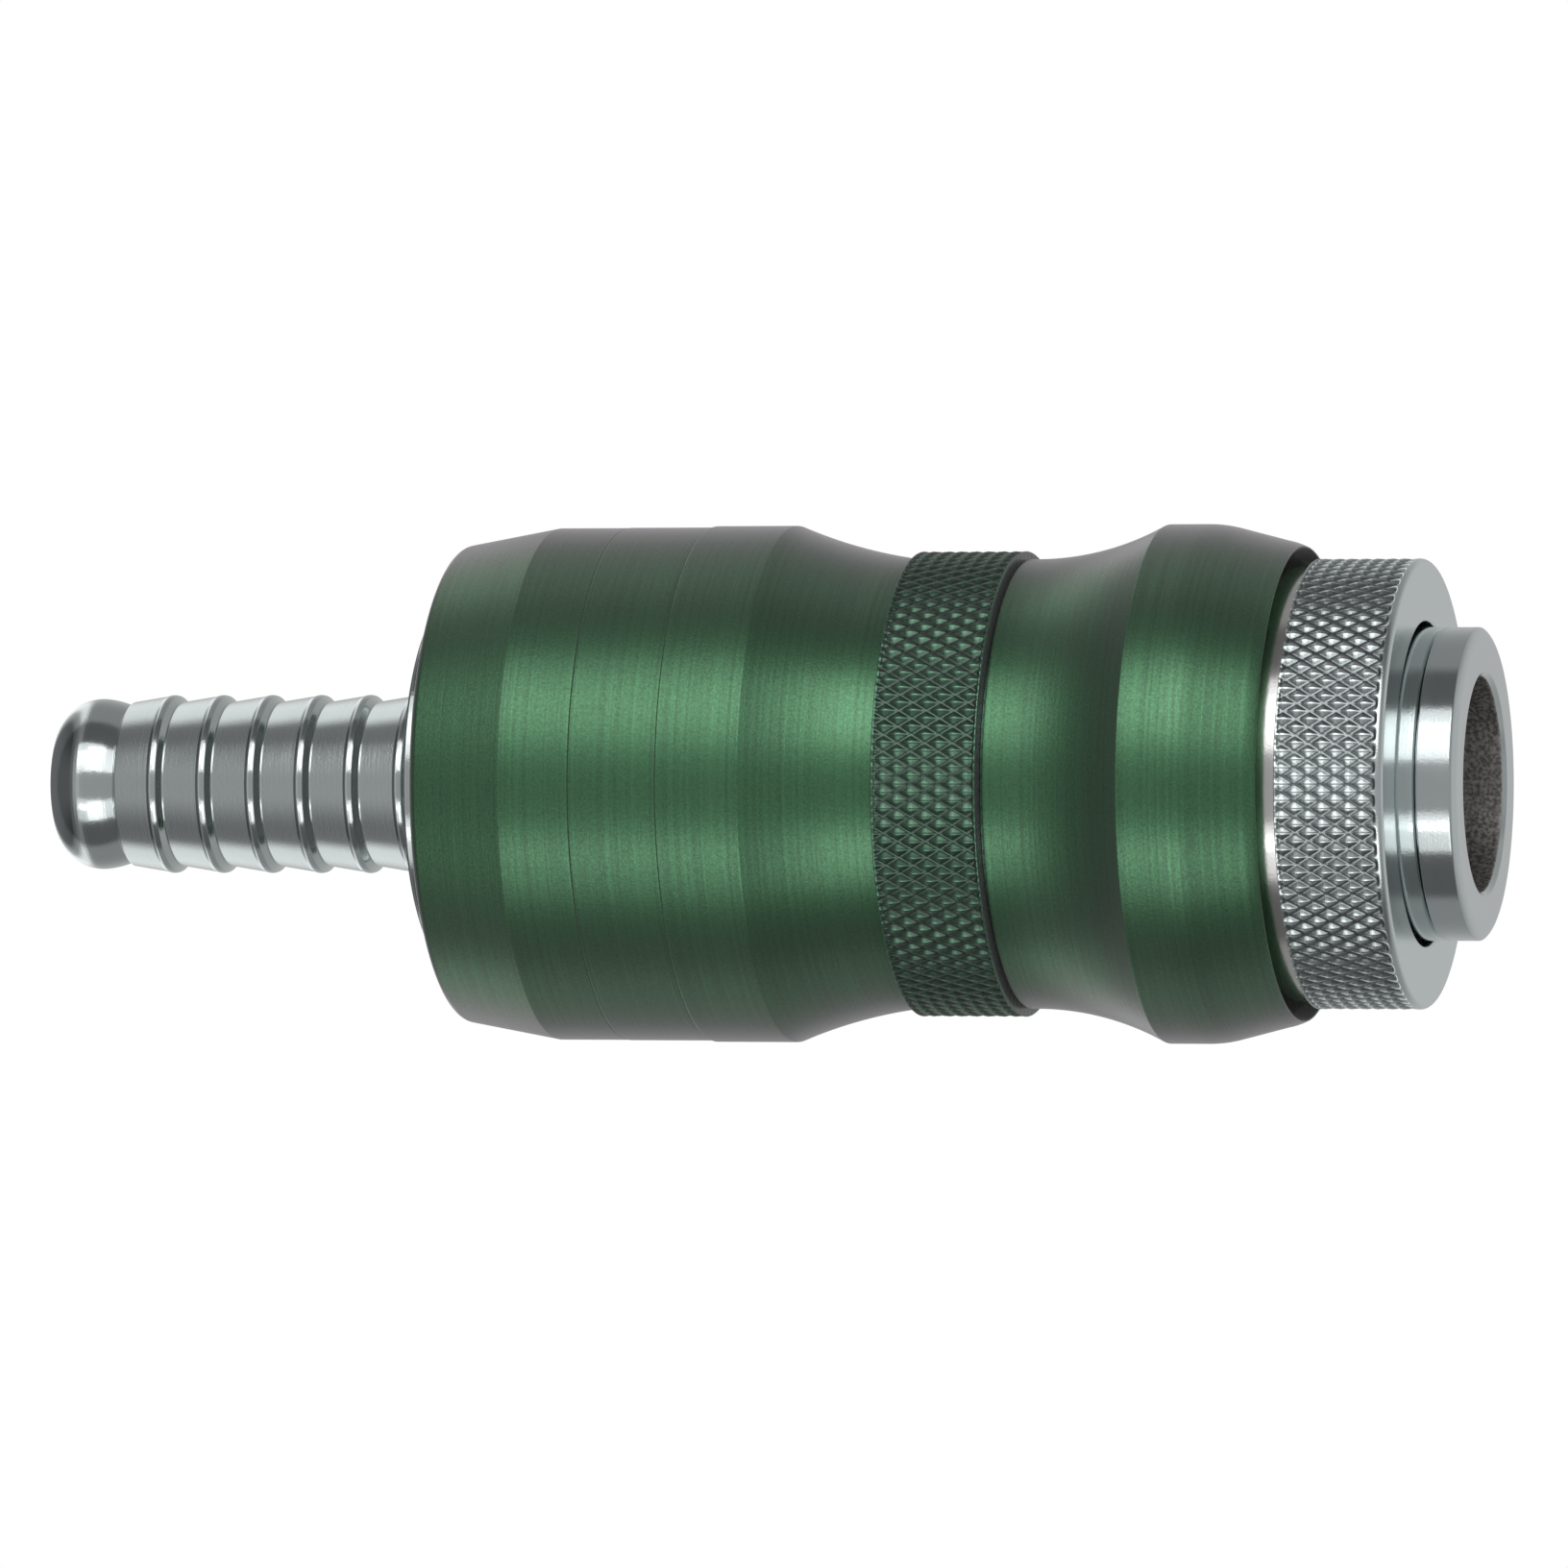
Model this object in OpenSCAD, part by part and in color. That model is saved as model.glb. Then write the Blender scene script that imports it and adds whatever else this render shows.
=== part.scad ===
// Quick coupling for a 13 mm hose: the socket half, with a ball lock, a shut-off valve and a swivelling
// tail. It stands on its nose: the face that takes the plug is at z = 0, and +Z runs to the hose tail.

/* [Socket and ball lock] */
// Diameter of the plug that slides into the nose
plug_d = 16.8; // [15:0.2:19]
// Width of the front ring of the nose
nose_ring_w = 3.2; // [2.4:0.1:3.5]
// How far the front ring reaches into the socket body behind its seam
nose_ring_depth = 4; // [3.4:0.1:4.4]
// Length of the nose in front of the release sleeve
nose_show = 4.6; // [4.1:0.1:5.5]
// Diameter of the lock balls
ball_d = 5; // [4.5:0.1:5.5]
// How far the lock balls stand into the bore
ball_reach = 1; // [0.8:0.05:1.1]
// How far the lock balls move out when the sleeve is pulled back
ball_lift = 1.25; // [1.15:0.05:1.5]
// Thickness of the seal that closes on the plug
socket_seal_d = 2.4; // [2:0.1:2.6]

/* [Release sleeve] */
// Travel of the release sleeve from locked to released
sleeve_travel = 5; // [4:0.25:6]
// Thickness of the collar at the front of the sleeve
sleeve_collar_w = 1.3; // [1:0.1:1.8]
// Width of the rounded front shoulder, up to the knurl
sleeve_shoulder_w = 0.55; // [0.4:0.05:1.2]
// Width of the knurled band
sleeve_knurl_w = 7.95; // [6:0.05:9]
// Wall of the sleeve over its spring
sleeve_wall = 2.06; // [1.7:0.02:2.6]
// Height of the knurled band over the plain skirt behind it
sleeve_step = 0.6; // [0.4:0.05:0.9]
// Wire of the sleeve spring
sleeve_spring_wire = 1.1; // [0.9:0.05:1.4]

/* [Front shell] */
// Gap round the sleeve in the mouth of the shell
mouth_gap = 0.6; // [0.4:0.05:1]
// Wall of the shell between its mouth and its full width
shell_wall = 2.15; // [1.8:0.05:3]
// Length of the taper from the lip to the full width
flare_len = 6.78; // [6:0.02:8.5]
// Length of the hollow from the full width to the waist
waist_len = 11.2; // [8.5:0.1:11.4]
// Depth of the waist below the full width
waist_depth = 2.7; // [2.2:0.05:3.3]
// Length of the thread that holds the shell on the socket body
shell_grip = 7.8; // [6.5:0.1:10]
// Wall of the shell over its thread
shell_neck_wall = 2.65; // [2.2:0.05:3]

/* [Lock ring] */
// Width of the knurled lock ring
lock_ring_w = 8.4; // [7.4:0.1:12]
// Height of its knurl over the waist
lock_ring_proud = 0.63; // [0.4:0.01:1]
// Angle that the ring turns through
lock_turn = 90; // [45:5:120]
// Diameter of the pin that stops the ring
lock_pin_d = 2; // [1.5:0.1:3]

/* [Rear shells] */
// Length of the mid shell
mid_shell_len = 16.66; // [13:0.1:20]
// Length of its hollow, from the lock ring to the full width
mid_hollow_len = 10.1; // [7.5:0.1:11]
// Wall of the mid shell at its thin end
mid_wall = 1.26; // [1:0.02:1.8]
// Width of the spacer ring
spacer_len = 7.04; // [5:0.1:10]
// Length of the rear cap
cap_len = 13.2; // [12.4:0.1:16]
// Length of the tapered end of the rear cap
cap_taper_len = 7.6; // [5:0.1:9]
// Drop of the taper at the rear edge
cap_taper_depth = 1.4; // [0.8:0.05:2.4]

/* [Valve] */
// Step from the bore down to the valve seat
seat_step = 1.2; // [0.9:0.05:1.6]
// Travel of the valve poppet
poppet_travel = 4; // [3:0.25:5]
// Thickness of the poppet's rim behind its cone
poppet_rim_w = 2.4; // [1.8:0.1:3.2]
// Thickness of the valve seal
valve_seal_d = 1.7; // [1.4:0.1:2]
// Wire of the valve spring
valve_spring_wire = 1.1; // [0.8:0.05:1.3]
// Thickness of the spring seat
spring_seat_w = 3.2; // [2.4:0.1:4]

/* [Swivel and hose tail] */
// Wall of the swivel body round the swivel
swivel_wall = 3.4; // [2.8:0.1:3.8]
// Thickness of the swivel flange
flange_w = 3.8; // [3.4:0.1:5]
// Thickness of each thrust washer
washer_w = 1.1; // [0.8:0.1:1.6]
// Diameter of the collar behind the rear cap
collar_d = 29; // [24:0.5:34]
// Thickness of the collar
collar_w = 1.5; // [1:0.1:2.5]
// Inside diameter of the hose
hose_d = 13; // [12:0.1:14]
// Height of the barbs over the hose's inside radius
barb_over = 0.58; // [0.3:0.02:0.8]
// Depth of the barbs
barb_depth = 0.54; // [0.4:0.02:0.8]
// Distance from one barb to the next
barb_pitch = 4.04; // [3.6:0.04:5]
// Diameter of the tail's bore
tail_bore_d = 9; // [8:0.1:9.6]
// Length of the rounded bulb at the end of the tail
bulb_len = 5.5; // [5:0.1:7]

/* [Hidden] */
$fn = 96;

// Colours, as the metal, rubber and plastic look
green = [0.13, 0.33, 0.2];
dark_green = [0.09, 0.24, 0.16];
nickel = [0.74, 0.74, 0.73];
steel = [0.62, 0.64, 0.65];
spring_steel = [0.5, 0.51, 0.52];
brass = [0.72, 0.58, 0.32];
rubber = [0.07, 0.07, 0.07];
white_plastic = [0.88, 0.87, 0.83];

// Clearances: fit between parts screwed or pressed together, slip between parts that turn or slide
fit = 0.02;
slip = 0.05;
// Groove left at a seam between two turned parts, and the small chamfer on the edges of the green shells
seam = 0.3;
shell_chamfer = 0.1;

// Six balls stand in a ring
ball_count = 6;
ball_r = ball_d / 2;
plug_r = plug_d / 2;
ball_in_r = plug_r - ball_reach + ball_r;
ball_out_r = ball_in_r + ball_lift;
// The land of the sleeve holds the balls in, and the nose tube runs inside it
land_r = ball_in_r + ball_r + 0.1;
nose_r = land_r - 0.26;
// The bore behind the front ring is a little wider than the plug, which the ring alone guides
bore_relief = 0.2;
bore_r = plug_r + bore_relief;
ring_spigot_r = (plug_r + nose_r) / 2;
z_ring = nose_ring_w;
z_ring_end = z_ring + nose_ring_depth;

// Release sleeve, from its front face back
z_sleeve = nose_show;
z_collar = z_sleeve + sleeve_collar_w;
z_knurl = z_sleeve + sleeve_shoulder_w;
z_knurl_end = z_knurl + sleeve_knurl_w;
collar_hole_r = nose_r + 0.45;
recess_r = ball_out_r + ball_r + 0.15;
z_ball = z_collar + sleeve_travel + ball_r + 0.3;
z_land_end = z_ball + ball_r + 0.9;
spring_gap = 0.8;
pocket_r = nose_r + sleeve_spring_wire + 2 * spring_gap;
skirt_r = pocket_r + sleeve_wall;
sleeve_r = skirt_r + sleeve_step;

// Stop ring of the sleeve, and the rib of the front shell that it meets
rib_w = 1.2;
rib_r = skirt_r + 0.12;
stop_ring_w = 1.2;
stop_ring_depth = 0.6;
stop_ring_gap = 3;
stop_ring_r = skirt_r + 0.55;
z_rib = z_knurl_end + sleeve_travel + 0.7;
z_stop_ring = z_rib + rib_w + slip;
z_sleeve_end = z_stop_ring + stop_ring_w + 0.7;
z_flange = z_sleeve_end + sleeve_travel + 1.45;

// Front shell
mouth_r = sleeve_r + mouth_gap;
shell_r = mouth_r + shell_wall;
waist_r = shell_r - waist_depth;
cavity_r = stop_ring_r + 0.25;
lip_w = 1.84;
lip_gap = 0.82;
z_lip = z_knurl_end + lip_gap;
z_shell_end = z_flange + shell_grip;
body_r = waist_r - shell_neck_wall;

// Lock ring between the front shell and the mid shell
ring_gap = 0.4;
ring_chamfer = 0.2;
hub_r = (body_r + waist_r) / 2 + 0.3;
z_lock = z_shell_end + ring_gap;
z_mid = z_lock + lock_ring_w;
z_pin = z_lock + lock_ring_w / 2;
lock_r = waist_r + lock_ring_proud;
pin_r = lock_pin_d / 2;
pin_reach = 1.2;
pin_seat = 2;
slot_r = body_r + pin_reach + 0.2;
slot_half_w = pin_r + 0.1;
slot_end = asin(slot_half_w / body_r);

// Shells behind the lock ring, all carried on the swivel body
z_spacer = z_mid + mid_shell_len;
z_cap = z_spacer + spacer_len;
z_cap_end = z_cap + cap_len;
core_r = waist_r - mid_wall;
spacer_r = shell_r - 0.1;
cap_r = shell_r - 0.12;

// Socket body behind the seat
spigot_len = 5.4;
spigot_step = 1.4;
spigot_wall = 2.6;
spider_ledge = 0.4;
spigot_r = body_r - spigot_step;
z_body_end = z_mid + spigot_len;
spider_r = spigot_r - spigot_wall;
chamber_r = spider_r - spider_ledge;
clip_w = 1.2;
clip_depth = 0.85;
clip_lip = 1.4;
// Width of the gap in each inner snap ring, which lets it spring into its groove
clip_gap = 8;
seat_clip_shelf = 4;
z_seat_clip = z_body_end - seat_clip_shelf;
z_spider = z_seat_clip - slip - spring_seat_w;

// Seal on the plug, valve seat and poppet
seal_after_balls = 4;
z_socket_seal = z_ball + ball_r + seal_after_balls;
seat_r = plug_r - seat_step;
seat_lip_w = 1.56;
seat_tube_wall = 1.7;
z_seat = z_flange - (nose_r - seat_tube_wall - seat_r);
z_seat_lip = z_seat - seat_lip_w;
z_chamber = z_seat + chamber_r - seat_r;
cone_gap = 0.12;
cone_lead = 0.5;
head_gap = 1.3;
head_r = chamber_r - head_gap;
z_head = z_seat + head_r - seat_r + cone_gap;
z_head_end = z_head + poppet_rim_w;
tip_r = 3;
tip_flat_r = 0.8;
tip_round_w = 1.6;
tip_flare_w = 1.9;
// The plug's end comes to rest just clear of the seat's lip, and has then pushed the tip back by its travel
tip_gap = 0.1;
z_tip = z_seat_lip - poppet_travel - tip_gap;
boss_r = 4.2;
boss_w = 1.8;
stem_r = 2.5;
stem_over = 0.6;
z_stem_end = z_spider + spring_seat_w + stem_over;
boss_gap = 0.5;
valve_spring_r = boss_r + boss_gap + valve_spring_wire / 2;
// The valve seal lies in a trapped groove in the cone, just clear of the seat
valve_seal_r = valve_seal_d / 2;
valve_seal_up = 1.25;
z_valve_seal = z_seat + valve_seal_up;
valve_seal_mid_r = seat_r + (z_valve_seal - z_seat) - (valve_seal_r + fit) * sqrt(2);

// Seal between the socket body and the swivel body
body_seal_r = 0.8;
z_body_seal = z_body_end - 2;

// Swivel, from the rear end of the swivel body forward
core_in_cap = 7.7;
z_core_end = z_cap + core_in_cap;
swivel_clip_shelf = 4.4;
swivel_clip_in = 1.8;
swivel_clip_out = 0.9;
z_swivel_clip = z_core_end - swivel_clip_shelf;
z_washer_rear = z_swivel_clip - slip - washer_w;
z_flange_rear = z_washer_rear - slip;
z_flange_front = z_flange_rear - flange_w;
z_washer_front = z_flange_front - slip - washer_w;
z_shoulder = z_washer_front - slip;
flow_r = spider_r - 0.8;
swivel_r = core_r - swivel_wall;
flange_r = swivel_r - 0.1;

// Hose tail
barb_r = hose_d / 2 + barb_over;
root_r = barb_r - barb_depth;
tail_bore_r = tail_bore_d / 2;
barb_count = 6;
journal_step = 2.35;
spigot_tail_r = barb_r + 0.1;
journal_r = spigot_tail_r + journal_step;
collar_gap = 0.15;
z_collar_ring = z_cap_end + collar_gap;
z_neck = z_collar_ring + collar_w;
neck_len = 2.55;
z_barb = z_neck + neck_len;
z_last_barb = z_barb + (barb_count - 1) * barb_pitch;
bulb_gap = 3.4;
z_bulb = z_last_barb + bulb_gap;
z_tip_end = z_bulb + bulb_len;
funnel_depth = 3;
funnel_r = tail_bore_r + funnel_depth;
tail_seal_r = 0.82;
z_tail_seal = (z_flange_front + z_flange_rear) / 2;
dust_seal_r = 0.85;
dust_seal_in = 2.9;
z_dust_seal = z_cap_end - dust_seal_in;

// Points on the circular arc from a to b, whose middle stands off the straight line by sag, to the left
function arc_points(a, b, sag, n = 12) =
    let (
        way = b - a,
        len = norm(way),
        along = way / len,
        left = [-along[1], along[0]] * sign(sag),
        depth = abs(sag),
        r = (len * len / 4 + depth * depth) / (2 * depth),
        half = asin(len / (2 * r)),
        centre = (a + b) / 2 - left * (r - depth)
    )
    [for (i = [0:n]) let (t = (2 * i / n - 1) * half) centre + left * r * cos(t) + along * r * sin(t)];

// A turned part, from its half section as [radius, height] points
module turned(section) rotate_extrude() polygon(section);

// A plain ring
module ring(r_in, r_out, z0, z1) rotate_extrude() translate([r_in, z0]) square([r_out - r_in, z1 - z0]);

// The space of a square groove, from its middle height and its width
module groove(r_in, r_out, z_mid_groove, w) ring(r_in, r_out, z_mid_groove - w / 2, z_mid_groove + w / 2);

// A round seal ring
module seal_ring(r_mid, z, section_r)
    rotate_extrude() translate([r_mid, z]) circle(r = section_r, $fn = 32);

// A snap ring: a flat ring with a gap in it, on the +X side
module snap_ring(r_in, r_out, z0, z1, gap_w) {
    difference() {
        ring(r_in, r_out, z0, z1);
        translate([0, -gap_w / 2, z0 - 1]) cube([r_out + 1, gap_w, z1 - z0 + 2]);
    }
}

// Height along a compression spring with closed end turns, as a share of its free height, turn by turn
function spring_rise(turn, turns, closed) =
    turn < 1 ? closed * turn
    : turn > turns - 1 ? 1 - closed * (turns - turn)
    : closed + (1 - 2 * closed) * (turn - 1) / (turns - 2);

// A compression spring between two faces, swept as a tube of eight sides
module spring(r_mid, wire, z0, z1, turns, per_turn = 24, sides = 8) {
    steps = turns * per_turn;
    height = z1 - z0 - wire;
    closed = wire * 1.08 / height;
    points = [
        for (i = [0:steps], k = [0:sides - 1])
            let (
                a = 360 * i / per_turn,
                b = 360 * k / sides,
                r = r_mid + wire / 2 * cos(b),
                z = z0 + wire / 2 + height * spring_rise(i / per_turn, turns, closed) + wire / 2 * sin(b)
            )
            [r * cos(a), r * sin(a), z]
    ];
    walls = [
        for (i = [0:steps - 1], k = [0:sides - 1])
            let (j = (k + 1) % sides)
            [i * sides + k, i * sides + j, (i + 1) * sides + j, (i + 1) * sides + k]
    ];
    first = [for (k = [0:sides - 1]) sides - 1 - k];
    last = [for (k = [0:sides - 1]) steps * sides + k];
    polyhedron(points, concat(walls, [first, last]));
}

// Front ring of the nose: the guide for the plug, screwed into the socket body
module nose_ring() {
    face_r = nose_r - 1;
    edge = arc_points([face_r, 0], [nose_r, 0.45], -0.12, 8);
    color(nickel) turned(concat(
        [[plug_r + 0.4, 0]],
        edge,
        [
            [nose_r, z_ring - seam / 2],
            [nose_r - seam, z_ring],
            [ring_spigot_r, z_ring],
            [ring_spigot_r, z_ring_end - fit],
            [plug_r, z_ring_end - fit],
            [plug_r, 0.4]
        ]
    ));
}

// A ball hole: a drilled hole that narrows inward, so that the ball can't fall into the bore
module ball_hole(k) {
    narrowing = 20;
    hole_r = ball_r + 0.1;
    // Radius that the cone would have level with the ball's centre, so that the ball just seats in it
    cone_r = (ball_r + 0.03) / cos(narrowing);
    cone_top = ball_in_r - (cone_r - hole_r) / tan(narrowing);
    cone_foot = plug_r - 0.5;
    foot_r = cone_r - (ball_in_r - cone_foot) * tan(narrowing);
    rotate([0, 0, 360 / ball_count * (k - 1)]) translate([0, 0, z_ball]) rotate([0, 90, 0]) {
        translate([0, 0, cone_foot]) cylinder(h = cone_top - cone_foot, r1 = foot_r, r2 = hole_r);
        translate([0, 0, cone_top]) cylinder(h = nose_r + 1 - cone_top, r = hole_r);
    }
}

// Socket body: the steel tube that holds the balls, the seal, the valve seat and the spring seat
module socket_body() {
    seal_groove_w = socket_seal_d + 0.2;
    seal_groove_r = bore_r + socket_seal_d - 0.4;
    color(nickel) difference() {
        turned([
            [ring_spigot_r + fit, z_ring],
            [nose_r - seam, z_ring],
            [nose_r, z_ring + seam / 2],
            [nose_r, z_flange],
            [body_r, z_flange],
            [body_r, z_mid],
            [spigot_r, z_mid],
            [spigot_r, z_body_end],
            [spider_r, z_body_end],
            [spider_r, z_spider],
            [chamber_r, z_spider],
            [chamber_r, z_chamber],
            [seat_r, z_seat],
            [seat_r, z_seat_lip],
            [bore_r, z_seat_lip],
            [bore_r, z_ring_end],
            [ring_spigot_r + fit, z_ring_end]
        ]);
        for (k = [1:ball_count]) ball_hole(k);
        groove(bore_r - 1, seal_groove_r, z_socket_seal, seal_groove_w);
        ring(spider_r - 1, spider_r + clip_depth, z_seat_clip, z_seat_clip + clip_w + slip);
        translate([body_r - pin_seat, 0, z_pin]) rotate([0, 90, 0])
            cylinder(h = pin_seat + 1, r = pin_r + fit);
    }
}

// A lock ball, resting in its hole and standing into the bore
module lock_ball(k) {
    color(steel) rotate([0, 0, 360 / ball_count * (k - 1)]) translate([ball_in_r, 0, z_ball])
        sphere(d = ball_d, $fn = 48);
}

// Release sleeve: a land that holds the balls in, and a ramp and a recess that let them out when it slides
module release_sleeve() {
    face_r = sleeve_r - 0.45;
    shoulder = arc_points([face_r, z_sleeve], [sleeve_r, z_knurl], -0.13, 8);
    color(steel) difference() {
        turned(concat(
            [[collar_hole_r + 0.2, z_sleeve]],
            shoulder,
            [
                [sleeve_r, z_knurl_end - 0.1],
                [skirt_r, z_knurl_end + 0.1],
                [skirt_r, z_sleeve_end],
                [pocket_r, z_sleeve_end],
                [pocket_r, z_land_end],
                [land_r, z_land_end],
                [land_r, z_ball + 0.1],
                [recess_r, z_ball - sleeve_travel],
                [recess_r, z_collar],
                [collar_hole_r, z_collar],
                [collar_hole_r, z_sleeve + 0.2]
            ]
        ));
        ring(skirt_r - stop_ring_depth, skirt_r + 1, z_stop_ring - fit, z_stop_ring + stop_ring_w + fit);
    }
}

// Snap ring round the rear of the sleeve, which meets the rib of the front shell
module sleeve_stop_ring() {
    color(spring_steel)
        snap_ring(skirt_r - stop_ring_depth + fit, stop_ring_r, z_stop_ring,
            z_stop_ring + stop_ring_w, stop_ring_gap);
}

// Spring that holds the sleeve forward
module sleeve_spring() {
    color(spring_steel) spring(nose_r + spring_gap + sleeve_spring_wire / 2, sleeve_spring_wire,
        z_land_end + fit, z_flange - fit, 4);
}

// Seal that closes on the plug
module socket_seal() {
    seal_r = socket_seal_d / 2;
    color(rubber) seal_ring(bore_r - 0.4 + seal_r - fit, z_socket_seal, seal_r);
}

// Front shell: thin lip, taper, full width and hollow waist, screwed on the socket body
module front_shell() {
    z_hollow = z_shell_end - waist_len;
    lip = arc_points([mouth_r + 0.15, z_lip], [mouth_r + 0.87, z_lip + lip_w], -0.15, 8);
    hollow = arc_points([shell_r, z_hollow], [waist_r, z_shell_end - 0.5], 0.68, 16);
    color(green) turned(concat(
        lip,
        [[shell_r, z_lip + flare_len]],
        hollow,
        [
            [waist_r, z_shell_end - shell_chamfer],
            [waist_r - shell_chamfer, z_shell_end],
            [body_r + fit, z_shell_end],
            [body_r + fit, z_flange],
            [cavity_r, z_flange],
            [cavity_r, z_rib + rib_w],
            [rib_r, z_rib + rib_w],
            [rib_r, z_rib],
            [mouth_r, z_rib - 0.3],
            [mouth_r, z_lip]
        ]
    ));
}

// Lock ring: knurled outside, with a slot inside that runs over the stop pin
module lock_ring() {
    color(dark_green) difference() {
        turned([
            [body_r + slip, z_shell_end + 0.1],
            [hub_r, z_shell_end + 0.1],
            [hub_r, z_lock],
            [lock_r - ring_chamfer, z_lock],
            [lock_r, z_lock + ring_chamfer],
            [lock_r, z_mid - slip - ring_chamfer],
            [lock_r - ring_chamfer, z_mid - slip],
            [body_r + slip, z_mid - slip]
        ]);
        rotate([0, 0, -lock_turn - slot_end]) rotate_extrude(angle = lock_turn + 2 * slot_end)
            translate([body_r - 1, z_pin - slot_half_w]) square([slot_r - body_r + 1, 2 * slot_half_w]);
    }
}

// Pin that stops the lock ring at both ends of its turn
module lock_pin() {
    color(steel) translate([body_r - pin_seat + fit, 0, z_pin]) rotate([0, 90, 0]) {
        cylinder(h = pin_seat + pin_reach - fit - 0.3, r = pin_r);
        translate([0, 0, pin_seat + pin_reach - fit - 0.3]) cylinder(h = 0.3, r1 = pin_r, r2 = pin_r - 0.3);
    }
}

// Mid shell: a hollow that rises from the lock ring to the full width
module mid_shell() {
    foot = [waist_r + 0.04, z_mid + shell_chamfer];
    hollow = arc_points(foot, [shell_r, z_mid + mid_hollow_len], 0.36, 16);
    color(green) turned(concat(
        [[core_r + fit, z_mid], [waist_r - shell_chamfer, z_mid]],
        hollow,
        [
            [shell_r, z_spacer - shell_chamfer],
            [shell_r - shell_chamfer, z_spacer],
            [core_r + fit, z_spacer]
        ]
    ));
}

// Spacer ring between the mid shell and the rear cap
module spacer_ring() {
    color(green) turned([
        [core_r + fit, z_spacer],
        [spacer_r - shell_chamfer, z_spacer],
        [spacer_r, z_spacer + shell_chamfer],
        [spacer_r, z_cap - shell_chamfer],
        [spacer_r - shell_chamfer, z_cap],
        [core_r + fit, z_cap]
    ]);
}

// Rear cap: screwed on the swivel body, with a tapered end and a hole for the hose tail
module rear_cap() {
    edge = 0.5;
    z_taper = z_cap_end - cap_taper_len;
    edge_r = cap_r - cap_taper_depth;
    slope = cap_taper_depth / cap_taper_len;
    rear_edge = arc_points([edge_r + edge * slope, z_cap_end - edge], [edge_r - edge, z_cap_end], -0.13, 8);
    color(green) turned(concat(
        [
            [core_r + fit, z_cap],
            [cap_r - shell_chamfer, z_cap],
            [cap_r, z_cap + shell_chamfer],
            [cap_r, z_taper]
        ],
        rear_edge,
        [
            [journal_r + slip + 0.3, z_cap_end],
            [journal_r + slip, z_cap_end - 0.3],
            [journal_r + slip, z_core_end + 0.1],
            [core_r + fit, z_core_end + 0.1]
        ]
    ));
}

// Swivel body: screwed on the rear of the socket body, it carries the shells and holds the swivel
module swivel_body() {
    groove_w = 2 * body_seal_r + 0.3;
    color(nickel) difference() {
        turned([
            [spigot_r + fit, z_mid],
            [core_r, z_mid],
            [core_r, z_core_end],
            [swivel_r, z_core_end],
            [swivel_r, z_shoulder],
            [flow_r, z_shoulder],
            [flow_r, z_body_end + fit],
            [spigot_r + fit, z_body_end + fit]
        ]);
        groove(spigot_r - 0.5, spigot_r + 2 * body_seal_r, z_body_seal, groove_w);
        ring(swivel_r - 1, swivel_r + swivel_clip_out + 0.1, z_swivel_clip - fit,
            z_swivel_clip + clip_w + slip);
    }
}

// Seal between the socket body and the swivel body
module body_seal() {
    color(rubber) seal_ring(spigot_r + body_seal_r + 0.02, z_body_seal, body_seal_r - 0.03);
}

// Valve poppet: a nose that the plug pushes, a cone that closes on the seat, a boss and a guide stem
module valve_poppet() {
    cone_front = z_seat - cone_lead;
    front_r = seat_r - cone_lead - cone_gap;
    tip = arc_points([tip_flat_r, z_tip], [tip_r, z_tip + tip_round_w], -0.45, 6);
    flare = arc_points([tip_r, cone_front - tip_flare_w], [front_r, cone_front], 0.5, 6);
    color(brass) difference() {
        turned(concat(
            [[0, z_tip]],
            tip,
            flare,
            [
                [head_r, z_head],
                [head_r, z_head_end],
                [boss_r, z_head_end],
                [boss_r, z_head_end + boss_w],
                [stem_r, z_head_end + boss_w],
                [stem_r, z_stem_end],
                [0, z_stem_end]
            ]
        ));
        seal_ring(valve_seal_mid_r, z_valve_seal, valve_seal_r + 0.02);
    }
}

// Seal ring held in the groove of the poppet's cone
module valve_seal() {
    color(rubber) seal_ring(valve_seal_mid_r, z_valve_seal, valve_seal_r);
}

// Spring that closes the valve
module valve_spring() {
    color(spring_steel) spring(valve_spring_r, valve_spring_wire, z_head_end + fit, z_spider - fit, 6);
}

// Spring seat: a hub that guides the poppet's stem, three spokes and a rim, with the flow passing between
module spring_seat() {
    hub_out_r = valve_spring_r + valve_spring_wire / 2 + 0.4;
    rim_in_r = spider_r - 1.5;
    spoke_w = 2.6;
    z_top = z_spider + spring_seat_w;
    color(brass) {
        difference() {
            union() {
                ring(rim_in_r, spider_r - fit, z_spider, z_top);
                cylinder_at(hub_out_r, z_spider, z_top);
                for (k = [0:2]) rotate([0, 0, 120 * k + 60]) translate([0, -spoke_w / 2, z_spider])
                    cube([rim_in_r + 0.5, spoke_w, spring_seat_w]);
            }
            cylinder_at(stem_r + slip, z_spider - 1, z_top + 1);
        }
    }
}

// A solid cylinder between two heights
module cylinder_at(r, z0, z1) translate([0, 0, z0]) cylinder(h = z1 - z0, r = r);

// Snap ring that holds the spring seat
module spring_seat_clip() {
    color(spring_steel) snap_ring(spider_r - clip_lip, spider_r + clip_depth - slip, z_seat_clip + fit,
        z_seat_clip + clip_w, clip_gap);
}

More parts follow.
